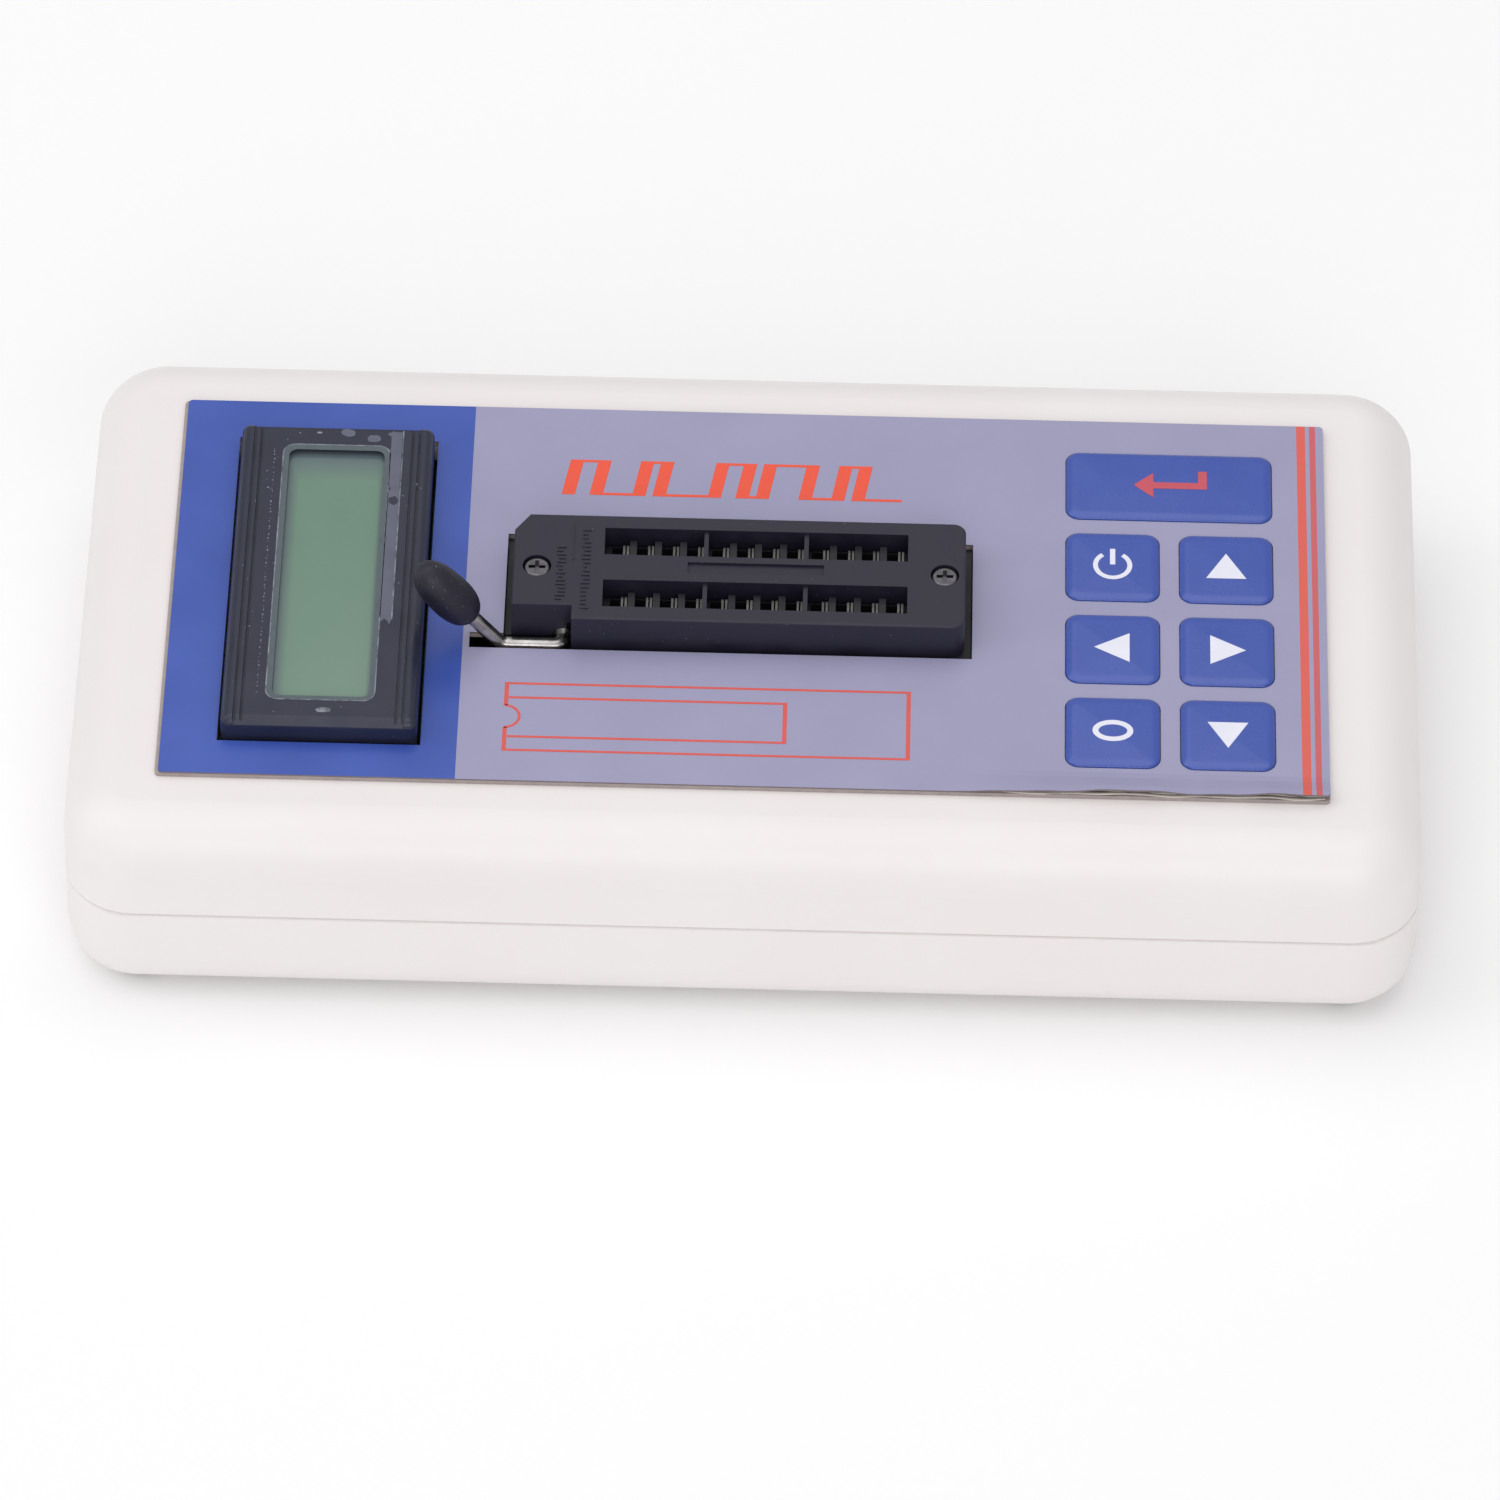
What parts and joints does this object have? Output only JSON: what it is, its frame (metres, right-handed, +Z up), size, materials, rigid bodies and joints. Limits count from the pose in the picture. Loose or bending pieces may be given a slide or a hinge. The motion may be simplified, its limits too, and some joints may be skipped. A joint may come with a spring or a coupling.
{
  "type": "component tester",
  "caption": "Handheld chip tester: ivory two-part case with a character display, a lever-operated zero-force chip socket and a membrane keypad on its top.",
  "frame": {"origin": "centre of the flat underside of the case, on the surface it lies on", "axes": "+X along the long side from the display to the keypad, +Y away from the user, +Z up out of the keypad face"},
  "size_m": [0.136, 0.07, 0.0346],
  "materials": {
    "case_plastic": "satin",
    "overlay_film": "satin",
    "adhesive_foam": "matte",
    "circuit_film": "satin",
    "key_film": "satin",
    "dome_steel": "satin",
    "black_plastic": "satin",
    "black_bezel": "satin",
    "display_glass": "glossy",
    "diffuser_acrylic": "satin",
    "zebra_rubber": "matte",
    "board_laminate": "satin",
    "resin_black": "glossy",
    "contact_metal": "satin",
    "screw_steel": "satin",
    "lever_steel": "polished",
    "knob_rubber": "matte",
    "chip_resin": "matte",
    "can_metal": "satin",
    "capacitor_sleeve": "satin",
    "ferrite": "matte",
    "resistor_ceramic": "matte",
    "connector_plastic": "matte",
    "cell_jacket": "satin",
    "wire_red": "satin",
    "wire_black": "satin"
  },
  "bodies": {
    "case": {"top_shell": "case_plastic", "bottom_shell": "case_plastic", "case_screws": "screw_steel", "graphic_overlay": "overlay_film", "keypad_spacer": "adhesive_foam", "keypad_circuit": "circuit_film", "display_bezel": "black_bezel", "display_glass": "display_glass", "display_diffuser": "diffuser_acrylic", "display_zebra_strips": "zebra_rubber", "display_board": "board_laminate", "display_controller": "resin_black", "display_header": "contact_metal", "socket_cover": "black_plastic", "socket_base": "black_plastic", "socket_contacts_front": "contact_metal", "socket_contacts_rear": "contact_metal", "socket_cover_screws": "screw_steel", "main_board": "board_laminate", "board_screws": "screw_steel", "microcontroller": "chip_resin", "crystal": "can_metal", "capacitors": "capacitor_sleeve", "inductor": "ferrite", "resistors": "resistor_ceramic", "tail_connector": "connector_plastic", "batteries": "cell_jacket", "battery_plates": "contact_metal", "battery_springs": "contact_metal", "battery_lead_positive": "wire_red", "battery_lead_negative": "wire_black", "dome_enter": "dome_steel", "dome_program": "dome_steel", "dome_up": "dome_steel", "dome_left": "dome_steel", "dome_right": "dome_steel", "dome_ring": "dome_steel", "dome_down": "dome_steel"},
    "lever_body": {"lever": "lever_steel", "lever_knob": "knob_rubber"},
    "slider": {"socket_slider": "black_plastic"},
    "door": {"battery_door": "case_plastic"},
    "key_enter_body": {"key_enter": "key_film"},
    "key_program_body": {"key_program": "key_film"},
    "key_up_body": {"key_up": "key_film"},
    "key_left_body": {"key_left": "key_film"},
    "key_right_body": {"key_right": "key_film"},
    "key_ring_body": {"key_ring": "key_film"},
    "key_down_body": {"key_down": "key_film"}
  },
  "joints": [
    {"name": "lever_swing", "type": "hinge", "parent": "case", "child": "lever_body", "pos_m": [-0.0188, 0, 0.0235], "axis": [0, 1, 0], "range_deg": [0, 60]},
    {"name": "slider_shift", "type": "slide", "parent": "case", "child": "slider", "axis": [1, 0, 0], "range_m": [0, 0.0008]},
    {"name": "door_slide", "type": "slide", "parent": "case", "child": "door", "axis": [1, 0, 0], "range_m": [0, 0.042]},
    {"name": "press_enter", "type": "slide", "parent": "case", "child": "key_enter_body", "axis": [0, 0, -1], "range_m": [0, 0.0003], "stiffness_N_per_m": 3000, "deforming": ["dome_enter"]},
    {"name": "press_program", "type": "slide", "parent": "case", "child": "key_program_body", "axis": [0, 0, -1], "range_m": [0, 0.0003], "stiffness_N_per_m": 3000, "deforming": ["dome_program"]},
    {"name": "press_up", "type": "slide", "parent": "case", "child": "key_up_body", "axis": [0, 0, -1], "range_m": [0, 0.0003], "stiffness_N_per_m": 3000, "deforming": ["dome_up"]},
    {"name": "press_left", "type": "slide", "parent": "case", "child": "key_left_body", "axis": [0, 0, -1], "range_m": [0, 0.0003], "stiffness_N_per_m": 3000, "deforming": ["dome_left"]},
    {"name": "press_right", "type": "slide", "parent": "case", "child": "key_right_body", "axis": [0, 0, -1], "range_m": [0, 0.0003], "stiffness_N_per_m": 3000, "deforming": ["dome_right"]},
    {"name": "press_ring", "type": "slide", "parent": "case", "child": "key_ring_body", "axis": [0, 0, -1], "range_m": [0, 0.0003], "stiffness_N_per_m": 3000, "deforming": ["dome_ring"]},
    {"name": "press_down", "type": "slide", "parent": "case", "child": "key_down_body", "axis": [0, 0, -1], "range_m": [0, 0.0003], "stiffness_N_per_m": 3000, "deforming": ["dome_down"]}
  ],
  "couplings": [
    {"joint": "lever_swing", "follows": "slider_shift", "rad_per_m": 1308.9}
  ]
}
